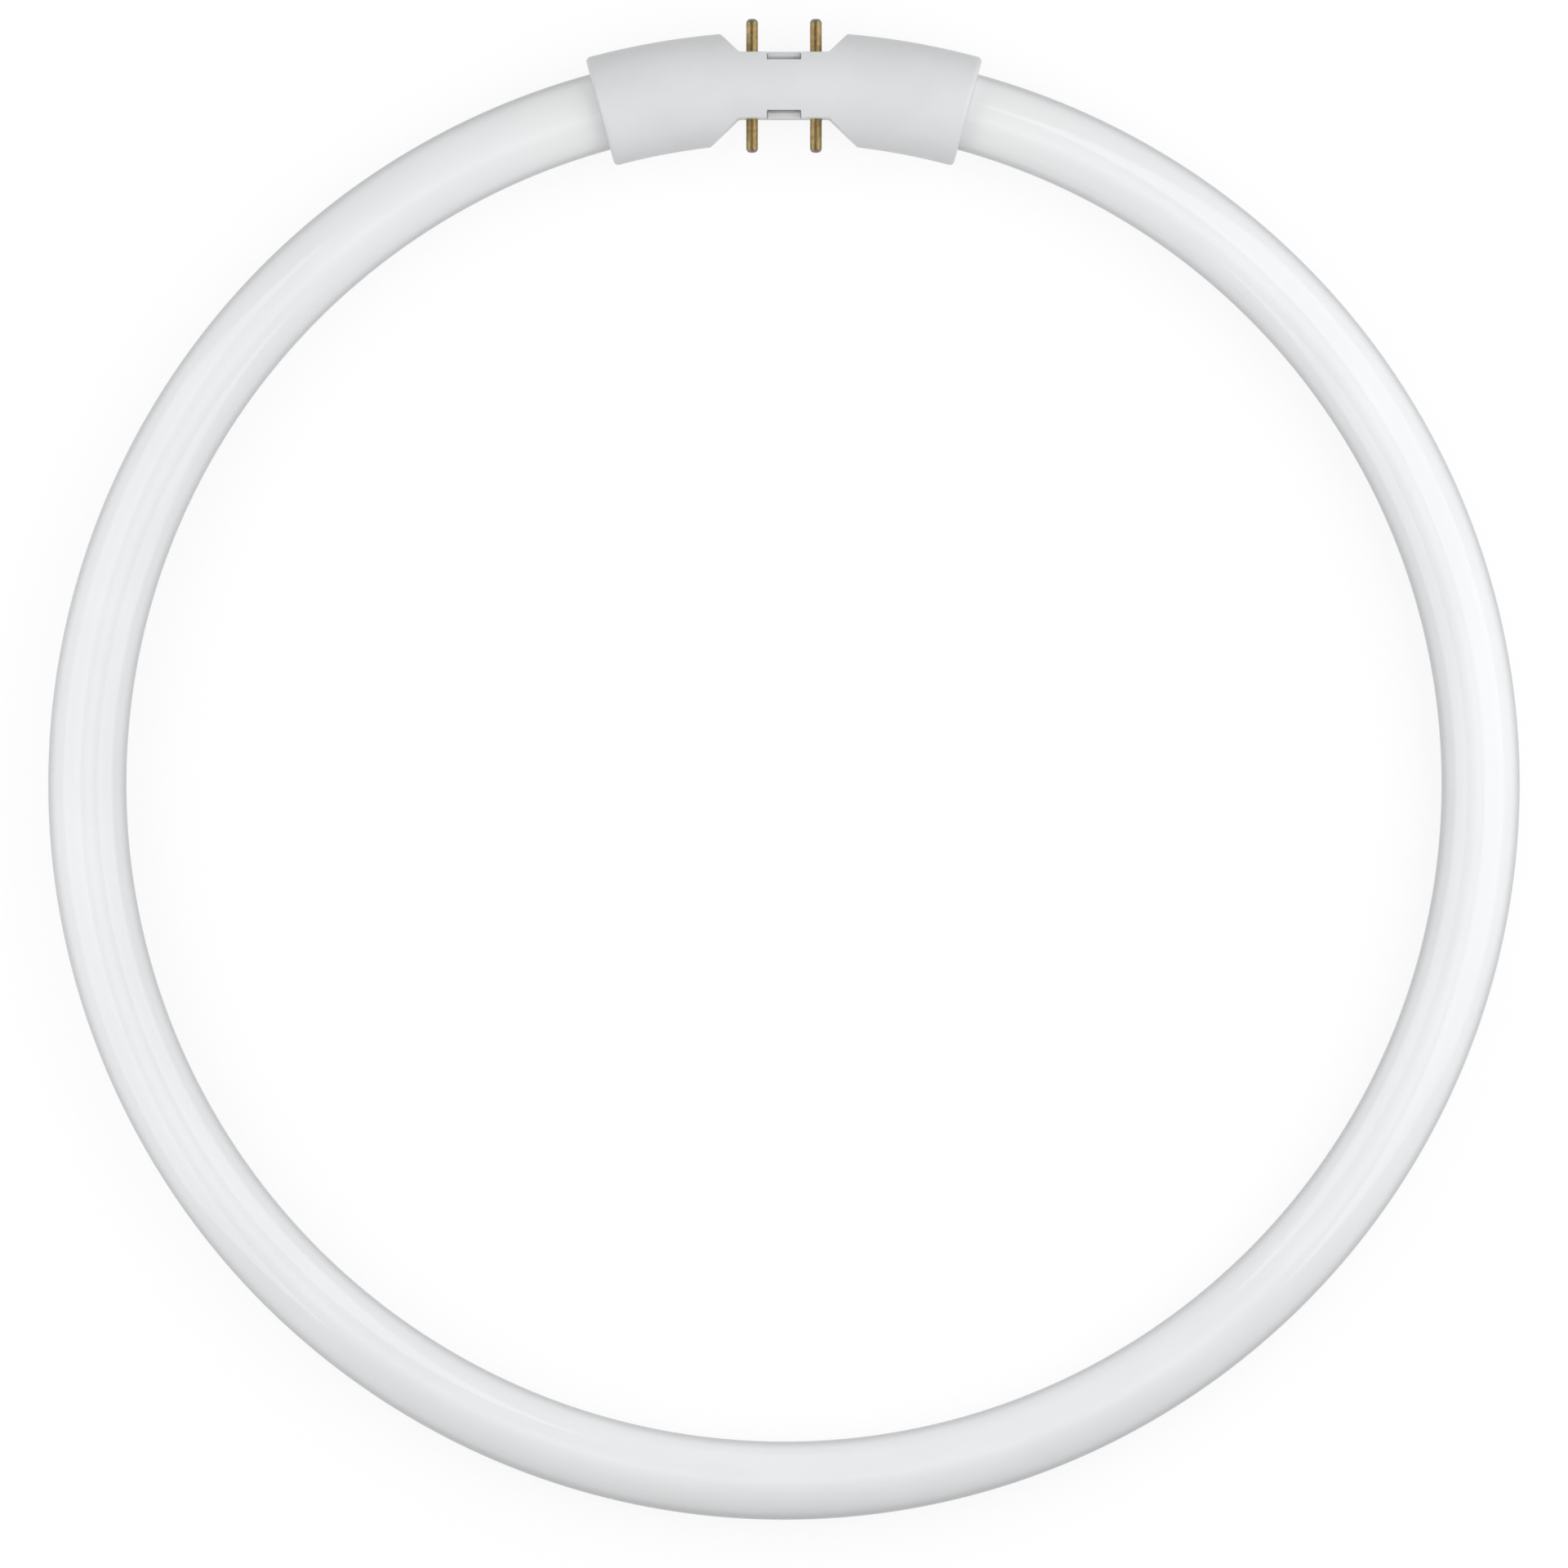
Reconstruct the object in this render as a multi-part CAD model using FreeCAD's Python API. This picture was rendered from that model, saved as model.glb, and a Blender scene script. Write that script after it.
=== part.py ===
import FreeCAD, Part

import math
import os

# Circular fluorescent tube: a ring of coated glass tube whose two sealed ends meet under a plastic cap.
# The cap is two half shells that part in the plane of the ring and snap together round four contact pins.
# The ring lies in the XY plane about the origin, the cap is on the +Y side, and +Z is the ring's axis.
# Lengths are in millimetres and angles in degrees, measured round the ring from +Y towards +X.

# Glass ring
RING_OUTER_DIAMETER = 300.0
TUBE_DIAMETER = 16.0
TUBE_END_GAP = 34.0         # between the faces of the two sealed ends
SEAL_LENGTH = 6.0           # straight stretch between the bend and a sealed end
SEAL_SHOULDER = 2.5         # rounding of a sealed end
EXHAUST_TIP_DIAMETER = 3.2
EXHAUST_TIP_LENGTH = 4.0

# Cap sleeves
CAP_STEP = 3.4              # how far the cap stands proud of the glass
CAP_SPAN = 75.0             # between the centres of the two mouths
CAP_WALL = 1.6
GLASS_CLEARANCE = 0.15
MOUTH_LIP = 2.0             # thickness of the lip round the glass at each mouth
MOUTH_ROUNDING = 1.0
CRADLE_SPAN = 56.0          # between the inner faces of the two ribs that cradle the glass
CRADLE_THICKNESS = 1.6
SEAM_CHAMFER = 0.15         # edge break where the two half shells meet

# Cap waist
WAIST_WIDTH = 13.5          # across the ring, between the two faces that carry pins
WAIST_OFFSET = 0.3          # how far the middle of the waist lies outside the ring's centre line
FLANK_ANGLE = 45.0          # rise of the flanks from the waist up to the sleeves
FOOT_ROUNDING = 1.0         # where a flank meets the waist
WAIST_ROUNDING = 0.4        # edge between the notches and the round outside

# Contact pins
PIN_SPACING = 13.0
PIN_MARGIN = 2.7            # from a pin's axis to the foot of the flank beside it
PIN_DIAMETER = 2.4
PIN_PROJECTION = 6.9
PIN_NOSE_RADIUS = 0.9
PIN_ROOT_DIAMETER = 3.0
PIN_COLLAR_DIAMETER = 4.0
PIN_COLLAR_THICKNESS = 1.0
PIN_TAIL_DIAMETER = 2.0
PIN_TAIL_LENGTH = 1.0
PIN_BORE_DEPTH = 2.6        # of the hole that takes the lead wire
PIN_SEAT_CLEARANCE = 0.05

# Lead wires
LEAD_DIAMETER = 0.6
LEAD_CLEARANCE = 0.05       # in the pin's bore
LEAD_OFFSET = 2.6           # from the tube's axis, where a lead leaves the glass
LEAD_STUB = 3.0             # straight stretch out of the glass
LEAD_BEND_RADIUS = 0.8
LEAD_BEND_ROOM = 1.5        # from the last corner to the pin, in bend radii

# Snap latches, one in each face of the waist
LATCH_WIDTH = 6.6
LATCH_THICKNESS = 1.0
LATCH_RECESS = 1.8          # how far the tip lies below the cap's surface
LATCH_HEAD = 1.1            # from the tip down to the underside of the hook
LATCH_HOOK = 0.5            # reach of the hook
LATCH_EDGE = 0.2            # edge break along the tip
LATCH_PLAY = 0.1            # between a latch and the well behind it
LATCH_SIDE_GAP = 0.15
LATCH_ROOT = 1.0            # how deep a latch runs into the lower shell

# Sizes that follow from those above
ring_radius = (RING_OUTER_DIAMETER - TUBE_DIAMETER) / 2
tube_radius = TUBE_DIAMETER / 2
cap_radius = tube_radius + CAP_STEP
overshoot = cap_radius      # how far a cutter runs past the cap

waist_y = ring_radius + WAIST_OFFSET
waist_half_width = WAIST_WIDTH / 2
waist_half_length = PIN_SPACING / 2 + PIN_MARGIN

# Distances along a pin, outwards from the middle of the waist
pin_tip = waist_half_width + PIN_PROJECTION
collar_outer = waist_half_width - CAP_WALL
collar_inner = collar_outer - PIN_COLLAR_THICKNESS
tail_end = collar_inner - PIN_TAIL_LENGTH
bore_bottom = tail_end + PIN_BORE_DEPTH

ORIGIN = FreeCAD.Vector(0, 0, 0)
ACROSS = FreeCAD.Vector(1, 0, 0)
UP = FreeCAD.Vector(0, 0, 1)
OUTER, INNER = 1, -1        # faces of the waist
RIGHT, LEFT = 1, -1         # ends of the glass


def ring_angle(chord):
    """Angle from +Y of a point on the ring's centre line that lies half a chord to the side."""
    return math.degrees(math.asin(chord / 2 / ring_radius))


def arc_angle(length):
    """Angle that a length covers along the ring's centre line."""
    return math.degrees(length / ring_radius)


def flat(x, y):
    return FreeCAD.Vector(x, y, 0)


def quarter_arc(centre, start, end):
    middle = start + end - centre * 2
    middle.multiply((start - centre).Length / middle.Length)
    return Part.Arc(start, centre + middle, end).toShape()


def turned(edges):
    """Solid of revolution about the X axis from a closed outline in the XY plane."""
    return Part.Face(Part.Wire(edges)).revolve(ORIGIN, ACROSS, 360)


def lines(points):
    return Part.makePolygon(points).Edges


def rounded_path(points, radius):
    """Straight runs through the points, joined by tangent arcs."""
    edges = []
    start = points[0]
    for before, corner, after in zip(points, points[1:], points[2:]):
        back = (before - corner).normalize()
        ahead = (after - corner).normalize()
        half_turn = (math.pi - back.getAngle(ahead)) / 2
        trim = radius * math.tan(half_turn)
        inset = radius / math.cos(half_turn) - radius
        arc_start = corner + back * trim
        arc_end = corner + ahead * trim
        arc_middle = corner + (back + ahead).normalize() * inset
        edges.append(Part.makeLine(start, arc_start))
        edges.append(Part.Arc(arc_start, arc_middle, arc_end).toShape())
        start = arc_end
    edges.append(Part.makeLine(start, points[-1]))
    return edges


def ring_sector(radius, start, end):
    """Round bar along the ring's centre line between two angles."""
    circle = Part.makeCircle(radius, flat(0, ring_radius), ACROSS)
    bar = Part.Face(Part.Wire(circle)).revolve(ORIGIN, UP, end - start)
    return bar.rotated(ORIGIN, UP, -end)


def mirrored(shape, end):
    """The shape as built for the right end of the glass, or its mirror image for the left."""
    return shape if end == RIGHT else shape.mirror(ORIGIN, ACROSS)


# Glass ring with its two sealed ends

# The bend stops where a straight stretch reaches exactly to the end gap.
bend_end = math.degrees(
    math.asin(TUBE_END_GAP / 2 / math.hypot(ring_radius, SEAL_LENGTH)) + math.atan2(SEAL_LENGTH, ring_radius)
)


def sealed_end():
    """Straight end of the glass at the right: rounded shoulder, flat face and domed exhaust tip."""
    tip_radius = EXHAUST_TIP_DIAMETER / 2
    tip_end = SEAL_LENGTH + EXHAUST_TIP_LENGTH
    shoulder = flat(SEAL_LENGTH - SEAL_SHOULDER, tube_radius - SEAL_SHOULDER)
    dome = flat(tip_end - tip_radius, 0)
    rim = flat(shoulder.x, tube_radius)
    face_edge = flat(SEAL_LENGTH, shoulder.y)
    tip_side = flat(dome.x, tip_radius)
    tip_point = flat(tip_end, 0)
    outline = lines([tip_point, ORIGIN, flat(0, tube_radius), rim])
    outline.append(quarter_arc(shoulder, rim, face_edge))
    outline += lines([face_edge, flat(SEAL_LENGTH, tip_radius), tip_side])
    outline.append(quarter_arc(dome, tip_side, tip_point))
    return on_glass_end(turned(outline))


def on_glass_end(shape):
    """Carries a shape from the X axis to the right end of the glass, with +X pointing out of the glass."""
    shape = shape.rotated(ORIGIN, UP, 180).translated(flat(0, ring_radius))
    return shape.rotated(ORIGIN, UP, -bend_end)


def discharge_tube():
    glass = ring_sector(tube_radius, bend_end, 360 - bend_end)
    end = sealed_end()
    return glass.fuse([end, mirrored(end, LEFT)]).removeSplitter()


# Contact pins

def on_waist(shape, face, end):
    """Carries a shape from the X axis to a pin's place, with +X pointing out of the waist."""
    shape = shape.rotated(ORIGIN, UP, 90 * face)
    return shape.translated(flat(end * PIN_SPACING / 2, waist_y))


def contact_pin(face, end):
    """Turned pin: free end with a rounded nose, root in the wall, collar behind it, bored tail for the lead."""
    radius = PIN_DIAMETER / 2
    nose_radius = min(PIN_NOSE_RADIUS, 0.8 * radius)
    root_radius = PIN_ROOT_DIAMETER / 2
    collar_radius = PIN_COLLAR_DIAMETER / 2
    tail_radius = PIN_TAIL_DIAMETER / 2
    bore_radius = LEAD_DIAMETER / 2 + LEAD_CLEARANCE
    nose = flat(pin_tip - nose_radius, radius - nose_radius)
    nose_start = flat(nose.x, radius)
    nose_end = flat(pin_tip, nose.y)
    outline = lines([
        nose_end,
        flat(pin_tip, 0),
        flat(bore_bottom, 0),
        flat(bore_bottom, bore_radius),
        flat(tail_end, bore_radius),
        flat(tail_end, tail_radius),
        flat(collar_inner, tail_radius),
        flat(collar_inner, collar_radius),
        flat(collar_outer, collar_radius),
        flat(collar_outer, root_radius),
        flat(waist_half_width, root_radius),
        flat(waist_half_width, radius),
        nose_start,
    ])
    outline.append(quarter_arc(nose, nose_start, nose_end))
    return on_waist(turned(outline), face, end)


def pin_seat(face, end):
    """Room for a pin's root, collar and tail, shared by the two half shells."""
    gap = PIN_SEAT_CLEARANCE
    root_radius = PIN_ROOT_DIAMETER / 2 + gap
    collar_radius = PIN_COLLAR_DIAMETER / 2 + gap
    tail_radius = PIN_TAIL_DIAMETER / 2 + gap
    outline = lines([
        flat(tail_end - gap, 0),
        flat(tail_end - gap, tail_radius),
        flat(collar_inner - gap, tail_radius),
        flat(collar_inner - gap, collar_radius),
        flat(collar_outer + gap, collar_radius),
        flat(collar_outer + gap, root_radius),
        flat(pin_tip, root_radius),
        flat(pin_tip, 0),
        flat(tail_end - gap, 0),
    ])
    return on_waist(turned(outline), face, end)


# Lead wires

def lead_wire(face, end):
    """Wire from a glass end to the nearest pin of one face, ending at the bottom of the pin's bore."""
    stub = [flat(SEAL_LENGTH, -face * LEAD_OFFSET), flat(SEAL_LENGTH + LEAD_STUB, -face * LEAD_OFFSET)]
    points = [on_glass_end(Part.Vertex(point)).Point for point in stub]
    for distance in (tail_end - LEAD_BEND_ROOM * LEAD_BEND_RADIUS, bore_bottom):
        points.append(flat(PIN_SPACING / 2, waist_y + face * distance))
    path = Part.Wire(rounded_path(points, LEAD_BEND_RADIUS))
    section = Part.Wire(Part.makeCircle(LEAD_DIAMETER / 2, points[0], points[1] - points[0]))
    return mirrored(path.makePipeShell([section], True, False), end)


# Cap

cap_end = ring_angle(CAP_SPAN)
lip_start = cap_end - arc_angle(MOUTH_LIP)
cradle_start = ring_angle(CRADLE_SPAN)
cradle_end = cradle_start + arc_angle(CRADLE_THICKNESS)
glass_end = ring_angle(TUBE_END_GAP)


def upright_prism(edges, face):
    """Prism through the whole cap from a closed outline beside the waist, as built for the outer face."""
    prism = Part.Face(Part.Wire(edges)).extrude(UP * (2 * overshoot))
    prism = prism.translated(FreeCAD.Vector(0, waist_y, -overshoot))
    return prism if face == OUTER else prism.mirror(flat(0, waist_y), flat(0, 1))


def flank_x(y, inset):
    """Where a flank, moved into the wall by an inset, stands at a distance from the middle of the waist."""
    slope = math.radians(FLANK_ANGLE)
    return waist_half_length + (y - waist_half_width + inset / math.cos(slope)) / math.tan(slope)


def notch(face):
    """What is cut from the round bar beside the waist: a flat between two flanks."""
    far = waist_half_width + overshoot
    corners = [
        flat(-flank_x(far, 0), far),
        flat(-waist_half_length, waist_half_width),
        flat(waist_half_length, waist_half_width),
        flat(flank_x(far, 0), far),
    ]
    outline = rounded_path(corners, FOOT_ROUNDING)
    outline.append(Part.makeLine(corners[-1], corners[0]))
    return upright_prism(outline, face)


def waist_wall(face):
    """What stays solid inside the cap beside the waist: the block that seats the pins, and the flanks."""
    far = waist_half_width + overshoot
    block_end = PIN_SPACING / 2 + PIN_COLLAR_DIAMETER / 2 + CAP_WALL
    slope = math.tan(math.radians(FLANK_ANGLE))
    block_top = waist_half_width - (flank_x(waist_half_width, CAP_WALL) - block_end) * slope
    half = [flat(block_end, tail_end), flat(block_end, block_top), flat(flank_x(far, CAP_WALL), far)]
    other_half = [flat(-point.x, point.y) for point in reversed(half)]
    return upright_prism(lines(other_half + half + other_half[:1]), face)


def cap_body():
    """Round bar bent to the ring, with rounded mouths and a notch on each side of the waist."""
    body = ring_sector(cap_radius, -cap_end, cap_end)
    mouths = [edge for edge in body.Edges if abs(edge.Length - 2 * math.pi * cap_radius) < 0.01]
    body = body.makeFillet(MOUTH_ROUNDING, mouths)
    body = body.cut([notch(OUTER), notch(INNER)])
    rims = []
    for face in body.Faces:
        beside_waist = abs(face.CenterOfMass.x) < flank_x(cap_radius, 0)
        if beside_waist and abs(face.normalAt(0, 0).z) < 0.001 and not is_round_bar(face):
            rims += [edge for edge in face.Edges if not is_upright(edge)]
    return body.makeFillet(WAIST_ROUNDING, rims)


def is_round_bar(face):
    return isinstance(face.Surface, Part.Toroid)


def is_upright(edge):
    return abs(edge.tangentAt(edge.FirstParameter).z) > 0.999


def cavity():
    """Hollow of the cap: between the lips, clear of the cradle ribs and of the wall round the waist."""
    hollow = ring_sector(cap_radius - CAP_WALL, -lip_start, lip_start)
    ribs = [ring_sector(cap_radius, cradle_start, cradle_end), ring_sector(cap_radius, -cradle_end, -cradle_start)]
    return hollow.cut(ribs + [waist_wall(OUTER), waist_wall(INNER)])


def glass_bores():
    """Way through the lip and the rib of each sleeve for the glass."""
    bore = ring_sector(tube_radius + GLASS_CLEARANCE, glass_end, cap_end + arc_angle(MOUTH_LIP))
    return [bore, mirrored(bore, LEFT)]


def pin_seats():
    return [pin_seat(face, end) for face in (OUTER, INNER) for end in (RIGHT, LEFT)]


def half_cap():
    """Lower half shell without its latches: half of the body, its seam edge broken, then hollowed."""
    reach = ring_radius + 2 * cap_radius
    half = cap_body().common(Part.makeBox(2 * reach, 2 * reach, reach, FreeCAD.Vector(-reach, -reach, -reach)))
    seam = next(face for face in half.Faces if abs(face.CenterOfMass.z) < 0.001 and face.Area > 1)
    half = half.makeChamfer(SEAM_CHAMFER, seam.Edges)
    return half.cut([cavity()] + glass_bores() + pin_seats())


# Snap latches

latch_back = waist_half_width - LATCH_THICKNESS
hook_tip = latch_back - LATCH_HOOK
latch_top = math.sqrt(cap_radius ** 2 - (waist_half_width + WAIST_OFFSET) ** 2) - LATCH_RECESS
hook_ledge = latch_top - LATCH_HEAD


def across_waist(points, half_width, face):
    """Prism along the waist from a profile of distances from its middle and heights."""
    profile = [FreeCAD.Vector(-half_width, waist_y + face * y, z) for y, z in points + points[:1]]
    return Part.Face(Part.makePolygon(profile)).extrude(ACROSS * (2 * half_width))


def latch(face):
    """Tongue that stands on the lower shell, with a hook near its tip."""
    profile = [
        (waist_half_width, -LATCH_ROOT),
        (waist_half_width, latch_top - LATCH_EDGE),
        (waist_half_width - LATCH_EDGE, latch_top),
        (latch_back, latch_top),
        (hook_tip, hook_ledge + LATCH_HOOK),
        (hook_tip, hook_ledge),
        (latch_back, hook_ledge),
        (latch_back, -LATCH_ROOT),
    ]
    return across_waist(profile, LATCH_WIDTH / 2, face)


def latch_well(face):
    """Slot for a latch in the upper shell, open at the top, with a ledge under the hook."""
    profile = [
        (waist_half_width + overshoot, -LATCH_ROOT),
        (waist_half_width + overshoot, overshoot),
        (hook_tip - LATCH_PLAY, overshoot),
        (hook_tip - LATCH_PLAY, hook_ledge - LATCH_PLAY),
        (latch_back - LATCH_PLAY, hook_ledge - LATCH_PLAY),
        (latch_back - LATCH_PLAY, -LATCH_ROOT),
    ]
    return across_waist(profile, LATCH_WIDTH / 2 + LATCH_SIDE_GAP, face)


def cap_shells():
    half = half_cap()
    upper = half.mirror(ORIGIN, UP).cut([latch_well(OUTER), latch_well(INNER)])
    lower = half.fuse([latch(OUTER), latch(INNER)]).removeSplitter()
    return upper, lower


def single_solid(shape):
    """The one solid in a shape."""
    solid, = shape.Solids
    return solid


nodes = {"discharge_tube": discharge_tube()}
nodes["cap_shell_upper"], nodes["cap_shell_lower"] = cap_shells()
for face_name, face in (("outer", OUTER), ("inner", INNER)):
    for end_name, end in (("left", LEFT), ("right", RIGHT)):
        nodes[f"contact_pin_{face_name}_{end_name}"] = contact_pin(face, end)
        nodes[f"lead_wire_{face_name}_{end_name}"] = lead_wire(face, end)

os.makedirs("parts", exist_ok=True)
for name, shape in nodes.items():
    single_solid(shape).exportStep(f"parts/{name}.step")
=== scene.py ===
import math

import bpy
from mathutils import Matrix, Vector


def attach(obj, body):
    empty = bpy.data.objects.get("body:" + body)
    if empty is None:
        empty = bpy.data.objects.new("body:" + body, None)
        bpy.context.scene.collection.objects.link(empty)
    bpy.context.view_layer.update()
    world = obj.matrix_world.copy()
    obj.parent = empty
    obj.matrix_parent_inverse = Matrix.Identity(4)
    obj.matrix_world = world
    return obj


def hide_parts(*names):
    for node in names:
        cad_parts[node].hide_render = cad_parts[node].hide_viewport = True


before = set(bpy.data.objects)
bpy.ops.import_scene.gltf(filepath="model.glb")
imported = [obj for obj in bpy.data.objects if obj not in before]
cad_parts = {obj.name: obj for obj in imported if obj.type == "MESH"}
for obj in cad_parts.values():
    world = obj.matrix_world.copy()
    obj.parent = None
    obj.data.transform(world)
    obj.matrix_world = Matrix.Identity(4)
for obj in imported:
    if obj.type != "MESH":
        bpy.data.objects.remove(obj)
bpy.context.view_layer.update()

# Circular fluorescent tube: a ring of white coated glass, a moulded cap over its two ends, four brass pins.
# Sizes are in metres, in the frame of the solids: the ring lies in XY about the origin and the cap is at +Y.
# The glass and the pins are modelled here.
# The cap's shells and the lead wires are the solids, with new looks.

scene = bpy.context.scene

MM = 0.001

# Glass ring
TUBE_RADIUS = 8.0 * MM
RING_RADIUS = 142.0 * MM
TUBE_END_GAP = 34.0 * MM
SEAL_LENGTH = 6.0 * MM
SEAL_SHOULDER = 2.5 * MM
EXHAUST_TIP_RADIUS = 1.6 * MM
EXHAUST_TIP_LENGTH = 4.0 * MM
TUBE_SIDES = 72
RING_STEPS = 320
SHOULDER_STEPS = 6
DOME_STEPS = 4

# Cap
CAP_RADIUS = 11.4 * MM
CAP_END_Y = 137.0 * MM
WAIST_Y = 142.3 * MM

# Pins, by distance from the middle of the waist
PIN_HALF_SPACING = 6.5 * MM
PIN_RADIUS = 1.2 * MM
PIN_ROOT_RADIUS = 1.5 * MM
PIN_COLLAR_RADIUS = 2.0 * MM
PIN_TAIL_RADIUS = 1.0 * MM
PIN_BORE_RADIUS = 0.35 * MM
PIN_NOSE_RADIUS = 0.9 * MM
PIN_TAIL_END = 3.15 * MM
PIN_COLLAR_IN = 4.15 * MM
PIN_COLLAR_OUT = 5.15 * MM
PIN_BORE_END = 5.75 * MM
PIN_ROOT_OUT = 6.75 * MM
PIN_TIP = 13.65 * MM
PIN_SIDES = 48
NOSE_STEPS = 8
PIN_EDGE_BREAK = 0.08 * MM
EDGE_BREAK_STEPS = 2

# Modelling limits
MERGE_DISTANCE = 0.001 * MM
RING_MARGIN = 1.01
RING_FLATNESS = 0.01 * MM
SMOOTH_ANGLE = math.radians(40)
SHARP_ANGLE = math.radians(50)

# Camera, straight above the ring
VIEW_WIDTH = 319.6 * MM
CAMERA_LENS = 600.0
CAMERA_SENSOR = 36.0

camera_data = bpy.data.cameras.new("camera")
camera_data.lens = CAMERA_LENS
camera_data.sensor_width = CAMERA_SENSOR
camera = bpy.data.objects.new("camera", camera_data)
camera.location = (0, 0, VIEW_WIDTH * CAMERA_LENS / CAMERA_SENSOR)
scene.collection.objects.link(camera)
scene.camera = camera


# Modelling

def select_only(piece):
    """Selects one piece and makes it the active one."""
    bpy.ops.object.select_all(action="DESELECT")
    piece.select_set(True)
    bpy.context.view_layer.objects.active = piece


def fix_place():
    """Moves the place of the selected piece into its mesh."""
    bpy.ops.object.transform_apply(location=True, rotation=True, scale=True)


def new_piece(name):
    """Names the primitive just added and moves its place into its mesh."""
    piece = bpy.context.active_object
    piece.name = name
    piece.data.name = name
    fix_place()
    return piece


def select_ring(piece, centre, along, radius):
    """Selects the ring of points round a centre, square to a direction."""
    bpy.ops.mesh.select_all(action="DESELECT")
    bpy.ops.mesh.select_mode(type="VERT")
    bpy.ops.object.mode_set(mode="OBJECT")
    for vertex in piece.data.vertices:
        offset = vertex.co - centre
        in_reach = offset.length < RING_MARGIN * radius
        vertex.select = in_reach and abs(offset.dot(along)) < RING_FLATNESS
    bpy.ops.object.mode_set(mode="EDIT")


def draw_out(start, along, profile):
    """Draws the selected ring out through a profile of distances from the start and radii."""
    reached, radius = profile[0]
    for distance, next_radius in profile[1:]:
        bpy.ops.mesh.extrude_region_move(TRANSFORM_OT_translate={"value": along * (distance - reached)})
        change = next_radius / radius
        bpy.ops.transform.resize(value=(change,) * 3, center_override=start + along * distance)
        reached, radius = distance, next_radius


def close_mesh():
    """Merges doubled points and turns the faces outwards."""
    bpy.ops.mesh.select_all(action="SELECT")
    bpy.ops.mesh.remove_doubles(threshold=MERGE_DISTANCE)
    bpy.ops.mesh.normals_make_consistent(inside=False)


def finish_piece(piece, node):
    """Smooths a piece and puts it in the place of its solid."""
    bpy.ops.object.mode_set(mode="OBJECT")
    bpy.ops.object.shade_smooth_by_angle(angle=SMOOTH_ANGLE)
    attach(piece, "root")
    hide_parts(node)


# Glass ring

# Angle from the cap's middle to where the bend ends and the straight sealed end starts
half_gap_angle = math.asin(TUBE_END_GAP / 2 / math.hypot(RING_RADIUS, SEAL_LENGTH))
bend_end = half_gap_angle + math.atan2(SEAL_LENGTH, RING_RADIUS)


def seal_profile():
    """Distances out of the bend and radii of the rings that make a sealed end."""
    steps = [(0, TUBE_RADIUS), (SEAL_LENGTH - SEAL_SHOULDER, TUBE_RADIUS)]
    for step in range(1, SHOULDER_STEPS + 1):
        turn = math.pi / 2 * step / SHOULDER_STEPS
        steps.append((
            SEAL_LENGTH - SEAL_SHOULDER * (1 - math.sin(turn)),
            TUBE_RADIUS - SEAL_SHOULDER * (1 - math.cos(turn)),
        ))
    steps.append((SEAL_LENGTH, EXHAUST_TIP_RADIUS))
    dome = SEAL_LENGTH + EXHAUST_TIP_LENGTH - EXHAUST_TIP_RADIUS
    for step in range(DOME_STEPS):
        turn = math.pi / 2 * step / DOME_STEPS
        steps.append((dome + EXHAUST_TIP_RADIUS * math.sin(turn), EXHAUST_TIP_RADIUS * math.cos(turn)))
    return steps


def glass_ring():
    """Tube spun round the ring's axis, each end drawn in to its seal and exhaust tip."""
    bpy.ops.object.select_all(action="DESELECT")
    bpy.ops.mesh.primitive_circle_add(
        vertices=TUBE_SIDES, radius=TUBE_RADIUS, location=(0, RING_RADIUS, 0), rotation=(0, math.pi / 2, 0)
    )
    piece = new_piece("glass_ring")
    bpy.ops.object.mode_set(mode="EDIT")
    bpy.ops.mesh.select_all(action="SELECT")
    bpy.ops.transform.rotate(value=bend_end, orient_axis="Z", center_override=(0, 0, 0))
    bpy.ops.mesh.spin(steps=RING_STEPS, angle=2 * (math.pi - bend_end), center=(0, 0, 0), axis=(0, 0, 1))
    profile = seal_profile()
    rest_of_dome = SEAL_LENGTH + EXHAUST_TIP_LENGTH - profile[-1][0]
    for end in (1, -1):
        start = Vector((end * math.sin(bend_end), math.cos(bend_end), 0)) * RING_RADIUS
        along = Vector((-end * math.cos(bend_end), math.sin(bend_end), 0))
        select_ring(piece, start, along, TUBE_RADIUS)
        draw_out(start, along, profile)
        bpy.ops.mesh.extrude_region_move(TRANSFORM_OT_translate={"value": along * rest_of_dome})
        bpy.ops.mesh.merge(type="CENTER")
    close_mesh()
    return piece


glass = glass_ring()
finish_piece(glass, "discharge_tube")


# Brass pins

def pin_profile():
    """Distances from the waist's middle and radii of a turned pin, from its bore's bottom to its nose."""
    steps = [
        (PIN_BORE_END, PIN_BORE_RADIUS),
        (PIN_TAIL_END, PIN_BORE_RADIUS),
        (PIN_TAIL_END, PIN_TAIL_RADIUS),
        (PIN_COLLAR_IN, PIN_TAIL_RADIUS),
        (PIN_COLLAR_IN, PIN_COLLAR_RADIUS),
        (PIN_COLLAR_OUT, PIN_COLLAR_RADIUS),
        (PIN_COLLAR_OUT, PIN_ROOT_RADIUS),
        (PIN_ROOT_OUT, PIN_ROOT_RADIUS),
        (PIN_ROOT_OUT, PIN_RADIUS),
    ]
    for step in range(NOSE_STEPS + 1):
        turn = math.pi / 2 * step / NOSE_STEPS
        steps.append((
            PIN_TIP - PIN_NOSE_RADIUS * (1 - math.sin(turn)),
            PIN_RADIUS - PIN_NOSE_RADIUS * (1 - math.cos(turn)),
        ))
    return steps


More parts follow.
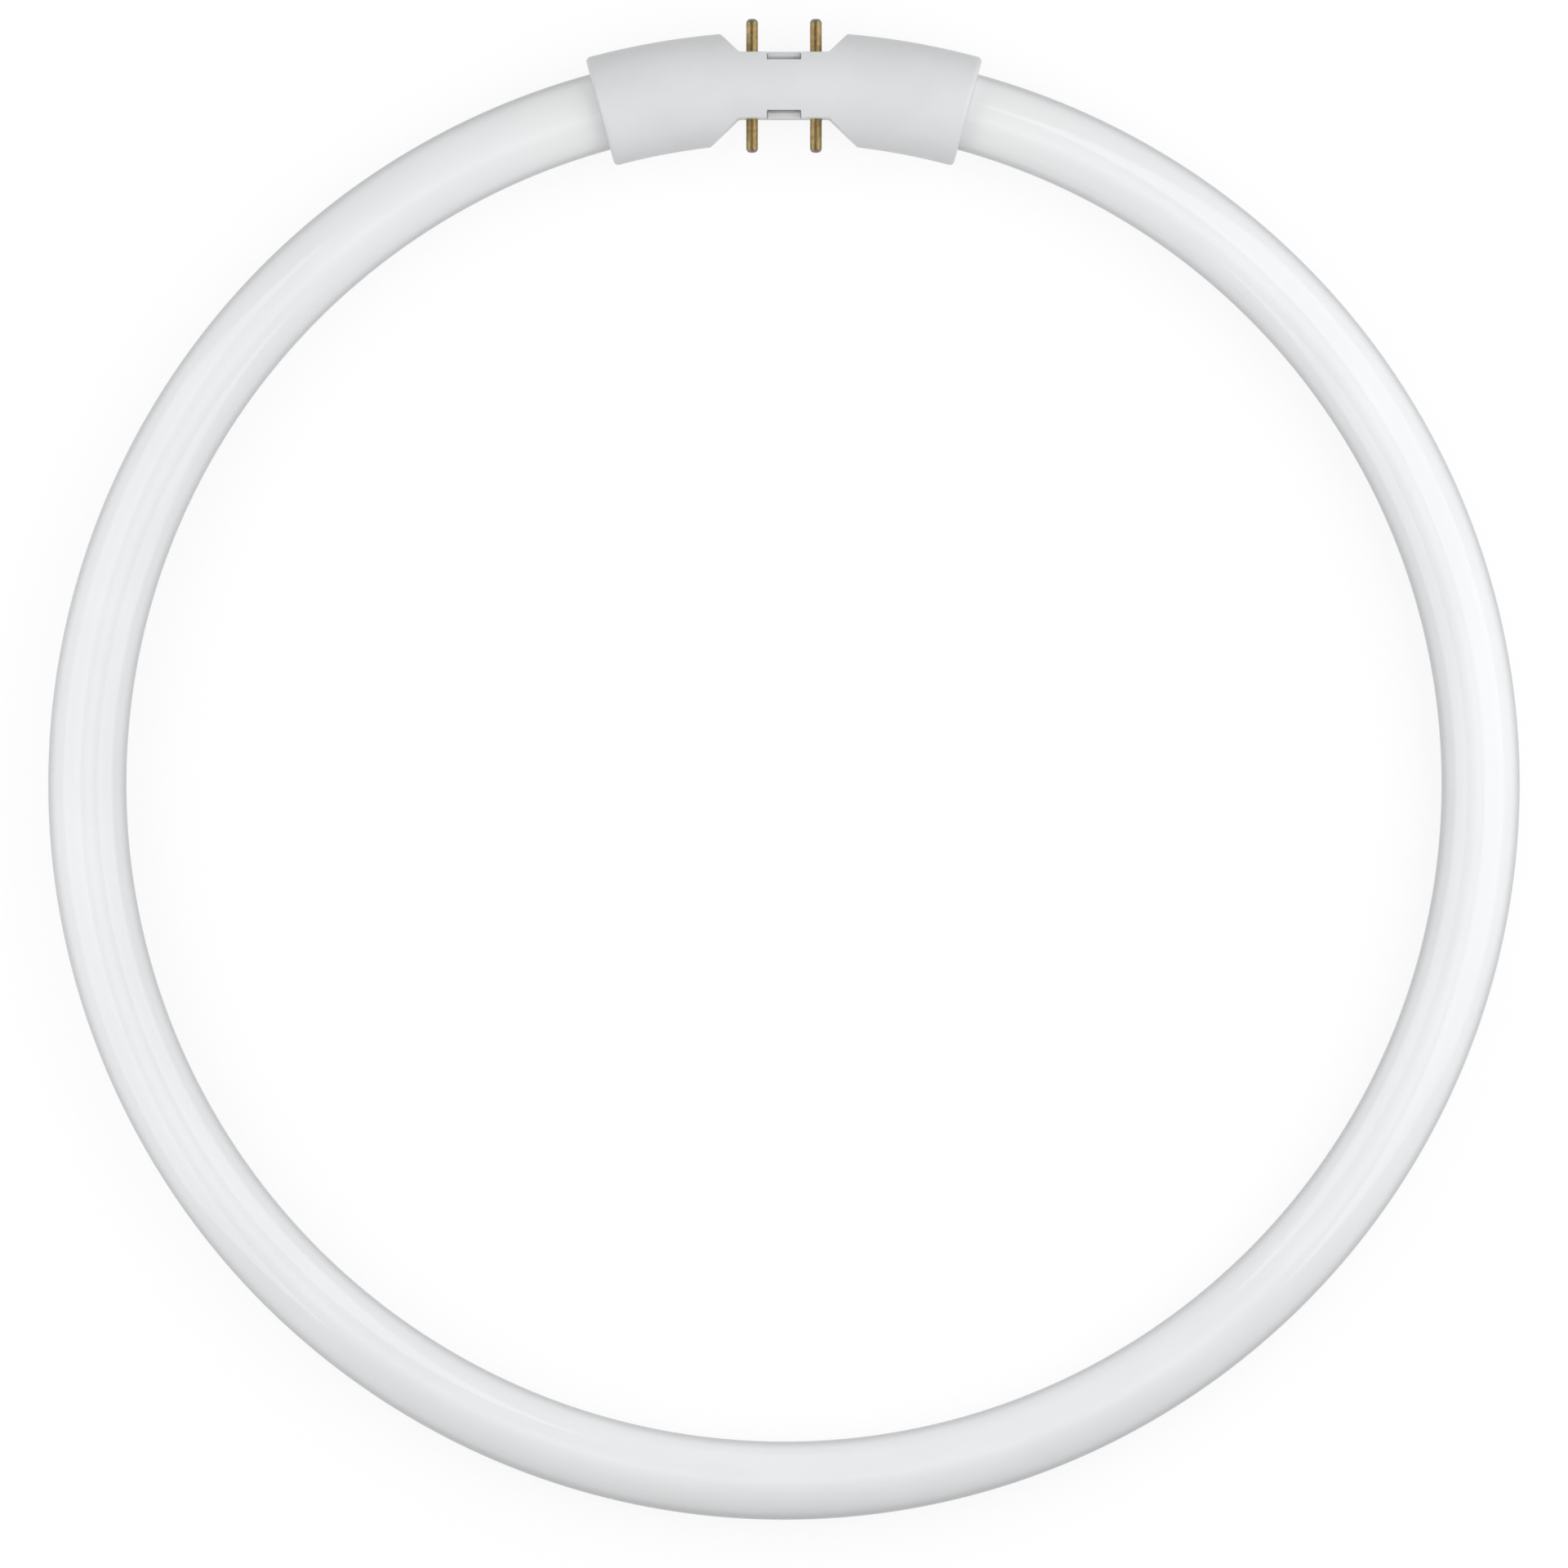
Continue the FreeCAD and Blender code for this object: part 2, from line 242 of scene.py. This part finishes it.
def turned_pin(name):
    """Outward pin on the right, drawn out along its axis, with its edges broken."""
    middle = Vector((PIN_HALF_SPACING, WAIST_Y, 0))
    along = Vector((0, 1, 0))
    bore_bottom = middle + along * PIN_BORE_END
    bpy.ops.object.select_all(action="DESELECT")
    bpy.ops.mesh.primitive_circle_add(
        vertices=PIN_SIDES, radius=PIN_BORE_RADIUS, location=bore_bottom, rotation=(math.pi / 2, 0, 0)
    )
    piece = new_piece(name)
    bpy.ops.object.mode_set(mode="EDIT")
    bpy.ops.mesh.select_all(action="SELECT")
    draw_out(middle, along, pin_profile())
    bpy.ops.mesh.edge_face_add()
    select_ring(piece, bore_bottom, along, PIN_BORE_RADIUS)
    bpy.ops.mesh.edge_face_add()
    close_mesh()
    bpy.ops.mesh.select_all(action="DESELECT")
    bpy.ops.mesh.select_mode(type="EDGE")
    bpy.ops.mesh.edges_select_sharp(sharpness=SHARP_ANGLE)
    bpy.ops.mesh.bevel(offset=PIN_EDGE_BREAK, segments=EDGE_BREAK_STEPS, affect="EDGES")
    bpy.ops.object.mode_set(mode="OBJECT")
    return piece


def copy_of(piece, name):
    """Copy of a piece with a mesh of its own, left selected."""
    select_only(piece)
    bpy.ops.object.duplicate()
    twin = bpy.context.active_object
    twin.name = name
    twin.data.name = name
    return twin


def pin_to_left(piece, name):
    """Copy of a right pin, moved over to the left."""
    twin = copy_of(piece, name)
    bpy.ops.transform.translate(value=(-2 * PIN_HALF_SPACING, 0, 0))
    fix_place()
    return twin


def pin_turned_inwards(piece, name):
    """Copy of an outward pin, turned about the waist's middle to point into the ring on the other side."""
    twin = copy_of(piece, name)
    bpy.ops.transform.rotate(value=math.pi, orient_axis="Z", center_override=(0, WAIST_Y, 0))
    fix_place()
    return twin


outer_right = turned_pin("pin_outer_right")
outer_left = pin_to_left(outer_right, "pin_outer_left")
inner_left = pin_turned_inwards(outer_right, "pin_inner_left")
inner_right = pin_turned_inwards(outer_left, "pin_inner_right")
pins = [outer_right, outer_left, inner_left, inner_right]
for pin in pins:
    select_only(pin)
    finish_piece(pin, "contact_" + pin.name)


# Node helpers

# Places of the colour sockets on a Mix node
MIX_MASK = 0
MIX_FIRST = 6
MIX_SECOND = 7
MIX_RESULT = 2


def add_node(tree, kind, inputs=None, **settings):
    """New node with its settings, each input set to a value or linked to another node's output."""
    new = tree.nodes.new("ShaderNode" + kind)
    for setting, value in settings.items():
        setattr(new, setting, value)
    for key, value in (inputs or {}).items():
        if isinstance(value, bpy.types.NodeSocket):
            tree.links.new(value, new.inputs[key])
        else:
            new.inputs[key].default_value = value
    return new


def calculate(tree, operation, *values):
    """Output of a Math node."""
    return add_node(tree, "Math", dict(enumerate(values)), operation=operation).outputs[0]


def fade(tree, value, low, high, at_low=0, at_high=1):
    """Value that goes smoothly from one level to another between two limits."""
    limits = {"Value": value, "From Min": low, "From Max": high, "To Min": at_low, "To Max": at_high}
    return add_node(tree, "MapRange", limits, interpolation_type="SMOOTHSTEP").outputs["Result"]


def blend_colours(tree, mask, first, second):
    """Colour that goes from the first to the second with a mask."""
    inputs = {MIX_MASK: mask, MIX_FIRST: first, MIX_SECOND: second}
    return add_node(tree, "Mix", inputs, data_type="RGBA").outputs[MIX_RESULT]


def effect_group(name, inputs, outputs):
    """Empty node group with its sockets."""
    tree = bpy.data.node_groups.new(name, "ShaderNodeTree")
    for side, sockets in (("INPUT", inputs), ("OUTPUT", outputs)):
        for socket, kind in sockets.items():
            tree.interface.new_socket(socket, in_out=side, socket_type="NodeSocket" + kind)
    return tree, tree.nodes.new("NodeGroupInput"), tree.nodes.new("NodeGroupOutput")


# Shared effects

# Levels between which most of a noise lies
NOISE_LOW = 0.3
NOISE_HIGH = 0.7


def noise_in(tree, given, detail, roughness):
    """Noise at the place and scale that a group is given."""
    inputs = {
        "Vector": given.outputs["Place"],
        "Scale": given.outputs["Scale"],
        "Detail": detail,
        "Roughness": roughness,
    }
    return add_node(tree, "TexNoise", inputs).outputs["Fac"]


def clouding_group():
    """Soft change between two near colours, as in a powder coat, moulded plastic or tarnish."""
    tree, given, made = effect_group(
        "clouding",
        {"Place": "Vector", "Scale": "Float", "Pale": "Color", "Deep": "Color"},
        {"Color": "Color"},
    )
    noise = noise_in(tree, given, detail=3.0, roughness=0.55)
    mask = fade(tree, noise, NOISE_LOW, NOISE_HIGH)
    colour = blend_colours(tree, mask, given.outputs["Pale"], given.outputs["Deep"])
    tree.links.new(colour, made.inputs["Color"])
    return tree


def uneven_gloss_group():
    """Roughness that drifts between a smooth and a dull level, from handling and moulding."""
    tree, given, made = effect_group(
        "uneven_gloss",
        {"Place": "Vector", "Scale": "Float", "Smooth": "Float", "Dull": "Float"},
        {"Roughness": "Float"},
    )
    noise = noise_in(tree, given, detail=4.0, roughness=0.6)
    level = fade(tree, noise, NOISE_LOW, NOISE_HIGH, given.outputs["Smooth"], given.outputs["Dull"])
    tree.links.new(level, made.inputs["Roughness"])
    return tree


def fine_grain_group():
    """Height of a fine even grain, as a spark-eroded mould or a drawn surface leaves it."""
    tree, given, made = effect_group("fine_grain", {"Place": "Vector", "Scale": "Float"}, {"Height": "Float"})
    noise = noise_in(tree, given, detail=2.0, roughness=0.5)
    tree.links.new(noise, made.inputs["Height"])
    return tree


clouding = clouding_group()
uneven_gloss = uneven_gloss_group()
fine_grain = fine_grain_group()


# Materials

COAT_PALE = (0.915, 0.92, 0.93, 1)
COAT_DEEP = (0.885, 0.892, 0.902, 1)
# Darker grey of the coat near the cap: partly a faint end tone, partly painted shade from the cap
COAT_END_TONE_AND_SHADE = (0.885, 0.89, 0.895, 1)
# Painted shade: the grey that the tube's edges turn to where they face away from the eye
GLASS_EDGE_SHADE = (0.51, 0.535, 0.55, 1)
PLASTIC_PALE = (0.784, 0.791, 0.801, 1)
PLASTIC_DEEP = (0.756, 0.763, 0.771, 1)
BRASS_PALE = (0.425, 0.317, 0.15, 1)
BRASS_DEEP = (0.312, 0.224, 0.094, 1)
BRASS_NOSE = (0.26, 0.235, 0.185, 1)
WIRE_PALE = (0.64, 0.62, 0.59, 1)
WIRE_DEEP = (0.52, 0.5, 0.47, 1)

# The clouding is drawn out along the tube by this share.
COAT_STRETCH = 0.35

# Lengths along the tube, from its far side, between which the coat turns darker near the cap: partly a faint
# end tone of its own, partly painted shade from the cap
NEAR_CAP_FROM = 370 * MM
NEAR_CAP_TO = 410 * MM

# Facing levels between which the tube's edges take painted shade, darker the more they face away from the eye
EDGE_FROM = 0.35
EDGE_TO = 0.9

# Distances from the waist's middle between which the brass turns to its worn nose
NOSE_FROM = PIN_TIP - 1.6 * MM
NOSE_TO = PIN_TIP - 0.1 * MM


def new_look(name):
    """New material, its Principled shader and its Object coordinates."""
    material = bpy.data.materials.new(name)
    material.use_nodes = True
    tree = material.node_tree
    place = add_node(tree, "TexCoord").outputs["Object"]
    return material, tree, tree.nodes["Principled BSDF"], place


def effect(tree, group, **inputs):
    """A shared effect placed in a material, with its values."""
    return add_node(tree, "Group", inputs, node_tree=group).outputs[0]


def bumped(tree, height, strength, depth):
    """Normal of a surface raised by a height."""
    inputs = {"Height": height, "Strength": strength, "Distance": depth}
    return add_node(tree, "Bump", inputs).outputs["Normal"]


def surface(tree, shader, colour, gloss, normal):
    """Feeds a shader its colour, its roughness and its raised surface."""
    tree.links.new(colour, shader.inputs["Base Color"])
    tree.links.new(gloss, shader.inputs["Roughness"])
    tree.links.new(normal, shader.inputs["Normal"])


def coated_glass_look():
    """White powder coat under smooth clear glass, its clouding laid along the tube, with painted shade at its
    edges, and near the cap a darker end that is partly its own tone and partly painted shade.
    """
    material, tree, shader, place = new_look("coated_glass")
    axes = add_node(tree, "SeparateXYZ", {"Vector": place}).outputs
    turn = calculate(tree, "ARCTAN2", axes["X"], calculate(tree, "MULTIPLY", axes["Y"], -1.0))
    length = calculate(tree, "MULTIPLY", turn, RING_RADIUS)
    flat = add_node(tree, "CombineXYZ", {"X": axes["X"], "Y": axes["Y"]}).outputs[0]
    reach = add_node(tree, "VectorMath", {0: flat}, operation="LENGTH").outputs["Value"]
    across = calculate(tree, "SUBTRACT", reach, RING_RADIUS)
    drawn_out = calculate(tree, "MULTIPLY", length, COAT_STRETCH)
    straight = add_node(tree, "CombineXYZ", {"X": drawn_out, "Y": across, "Z": axes["Z"]}).outputs[0]
    coat = effect(tree, clouding, Place=straight, Scale=90.0, Pale=COAT_PALE, Deep=COAT_DEEP)
    # Partly painted shade: the coat darkens towards the cap, as if the cap shaded the glass
    end_tone_and_shade = fade(tree, calculate(tree, "ABSOLUTE", length), NEAR_CAP_FROM, NEAR_CAP_TO)
    coat = blend_colours(tree, end_tone_and_shade, coat, COAT_END_TONE_AND_SHADE)
    # Painted shade: the coat is darkened towards the tube's edges, by how far they face away from the eye
    glancing = add_node(tree, "LayerWeight", {"Blend": 0.5}).outputs["Facing"]
    colour = blend_colours(tree, fade(tree, glancing, EDGE_FROM, EDGE_TO), coat, GLASS_EDGE_SHADE)
    gloss = effect(tree, uneven_gloss, Place=straight, Scale=130.0, Smooth=0.045, Dull=0.085)
    ripple = effect(tree, fine_grain, Place=straight, Scale=60.0)
    surface(tree, shader, colour, gloss, bumped(tree, ripple, strength=0.5, depth=0.03 * MM))
    return material


def cap_plastic_look():
    """Satin white plastic with a fine mould grain."""
    material, tree, shader, place = new_look("cap_plastic")
    colour = effect(tree, clouding, Place=place, Scale=75.0, Pale=PLASTIC_PALE, Deep=PLASTIC_DEEP)
    gloss = effect(tree, uneven_gloss, Place=place, Scale=350.0, Smooth=0.36, Dull=0.46)
    grain = effect(tree, fine_grain, Place=place, Scale=2600.0)
    surface(tree, shader, colour, gloss, bumped(tree, grain, strength=0.3, depth=0.02 * MM))
    return material


def pin_brass_look():
    """Turned brass with faint tool lines, a little tarnished, its nose worn grey."""
    material, tree, shader, place = new_look("pin_brass")
    shader.inputs["Metallic"].default_value = 1
    brass = effect(tree, clouding, Place=place, Scale=900.0, Pale=BRASS_PALE, Deep=BRASS_DEEP)
    depth = add_node(tree, "SeparateXYZ", {"Vector": place}).outputs["Y"]
    out_of_waist = calculate(tree, "ABSOLUTE", calculate(tree, "SUBTRACT", depth, WAIST_Y))
    colour = blend_colours(tree, fade(tree, out_of_waist, NOSE_FROM, NOSE_TO), brass, BRASS_NOSE)
    gloss = effect(tree, uneven_gloss, Place=place, Scale=1300.0, Smooth=0.36, Dull=0.5)
    wave = {"Vector": place, "Scale": 1500.0, "Distortion": 1.0}
    lines = add_node(tree, "TexWave", wave, bands_direction="Y").outputs["Fac"]
    surface(tree, shader, colour, gloss, bumped(tree, lines, strength=0.2, depth=0.006 * MM))
    return material


def lead_metal_look():
    """Dull drawn wire."""
    material, tree, shader, place = new_look("lead_metal")
    shader.inputs["Metallic"].default_value = 1
    colour = effect(tree, clouding, Place=place, Scale=1500.0, Pale=WIRE_PALE, Deep=WIRE_DEEP)
    gloss = effect(tree, uneven_gloss, Place=place, Scale=1800.0, Smooth=0.3, Dull=0.42)
    grain = effect(tree, fine_grain, Place=place, Scale=6000.0)
    surface(tree, shader, colour, gloss, bumped(tree, grain, strength=0.2, depth=0.004 * MM))
    return material


glass.data.materials.append(coated_glass_look())
brass_look = pin_brass_look()
for pin in pins:
    pin.data.materials.append(brass_look)
plastic_look = cap_plastic_look()
wire_look = lead_metal_look()
for name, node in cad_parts.items():
    if name.startswith("cap_shell"):
        node.data.materials[0] = plastic_look
    elif name.startswith("lead_wire"):
        node.data.materials[0] = wire_look


# Studio

# Floor: what it glows and what it shades for the eye, and what it throws back on the lamp
FLOOR_SIZE = 8.0
FLOOR_GAP = 0.02 * MM
FLOOR_GLOW = 0.85
FLOOR_SHADED = (0.17, 0.17, 0.17, 1)
FLOOR_THROWN_BACK = (0.4, 0.4, 0.4, 1)

# World: the even light on the lamp, and the room that polished metal shows, by height above the horizon
WHITE = (1, 1, 1, 1)
SOFT_LEVEL = 0.46
HORIZON_LEVEL = 1.0
CEILING_LEVEL = 0.12
CEILING_FROM = 0.1
CEILING_TO = 0.8


def seen_directly(tree):
    """One for rays from the camera, from a mirror-like surface or through glass, nought for the rest."""
    path = add_node(tree, "LightPath").outputs
    seen = calculate(tree, "MAXIMUM", path["Is Camera Ray"], path["Is Glossy Ray"])
    return calculate(tree, "MAXIMUM", seen, path["Is Transmission Ray"])


def floor_look():
    """White to the eye, with the lamp's shadow on it, and pale grey to the light that it throws back."""
    material = bpy.data.materials.new("floor")
    material.use_nodes = True
    tree = material.node_tree
    tree.nodes.clear()
    thrown_back = add_node(tree, "BsdfDiffuse", {"Color": FLOOR_THROWN_BACK})
    white = add_node(tree, "Emission", {"Strength": FLOOR_GLOW})
    shadow = add_node(tree, "BsdfDiffuse", {"Color": FLOOR_SHADED})
    eye = add_node(tree, "AddShader", {0: white.outputs[0], 1: shadow.outputs[0]})
    both = add_node(tree, "MixShader", {0: seen_directly(tree), 1: thrown_back.outputs[0], 2: eye.outputs[0]})
    add_node(tree, "OutputMaterial", {"Surface": both.outputs[0]})
    return material


# The lamp touches the floor with both ends of its cap and the far side of the glass.
cap_low = Vector((0, CAP_END_Y, -CAP_RADIUS))
glass_low = Vector((0, -RING_RADIUS, -TUBE_RADIUS))
tilt = math.atan2(cap_low.z - glass_low.z, cap_low.y - glass_low.y)
floor_middle = (glass_low + cap_low) / 2 - Vector((0, 0, FLOOR_GAP))

bpy.ops.object.select_all(action="DESELECT")
bpy.ops.mesh.primitive_plane_add(size=FLOOR_SIZE, location=floor_middle, rotation=(tilt, 0, 0))
floor = new_piece("floor")
floor.data.materials.append(floor_look())


def studio_world():
    """Even soft light, seen in polished metal as a white horizon under a darker ceiling."""
    world = bpy.data.worlds.new("studio")
    world.use_nodes = True
    tree = world.node_tree
    tree.nodes.clear()
    direction = add_node(tree, "TexCoord").outputs["Generated"]
    height = add_node(tree, "SeparateXYZ", {"Vector": direction}).outputs["Z"]
    ceiling = fade(tree, height, CEILING_FROM, CEILING_TO, HORIZON_LEVEL, CEILING_LEVEL)
    soft = add_node(tree, "Background", {"Color": WHITE, "Strength": SOFT_LEVEL})
    room = add_node(tree, "Background", {"Color": WHITE, "Strength": ceiling})
    both = add_node(tree, "MixShader", {0: seen_directly(tree), 1: soft.outputs[0], 2: room.outputs[0]})
    add_node(tree, "OutputWorld", {"Surface": both.outputs[0]})
    return world


def softbox(name, azimuth, height, distance, width, depth, power):
    """Soft lamp facing the ring's middle, its azimuth clockwise from the cap and its height in degrees."""
    turn = math.radians(azimuth)
    lift = math.radians(height)
    level = math.cos(lift)
    place = Vector((level * math.sin(turn), level * math.cos(turn), math.sin(lift))) * distance
    data = bpy.data.lights.new(name, "AREA")
    data.shape = "RECTANGLE"
    data.size = width
    data.size_y = depth
    data.energy = power
    lamp = bpy.data.objects.new(name, data)
    lamp.location = place
    lamp.rotation_euler = (-place).to_track_quat("-Z", "Y").to_euler()
    lamp.visible_camera = False
    scene.collection.objects.link(lamp)


scene.world = studio_world()
softbox("key", azimuth=76, height=42, distance=0.6, width=0.9, depth=0.6, power=2.3)
softbox("fill", azimuth=270, height=36, distance=0.6, width=0.85, depth=0.5, power=1.6)
softbox("overhead", azimuth=180, height=84, distance=1.2, width=0.45, depth=0.45, power=0.35)

scene.view_settings.view_transform = "Standard"
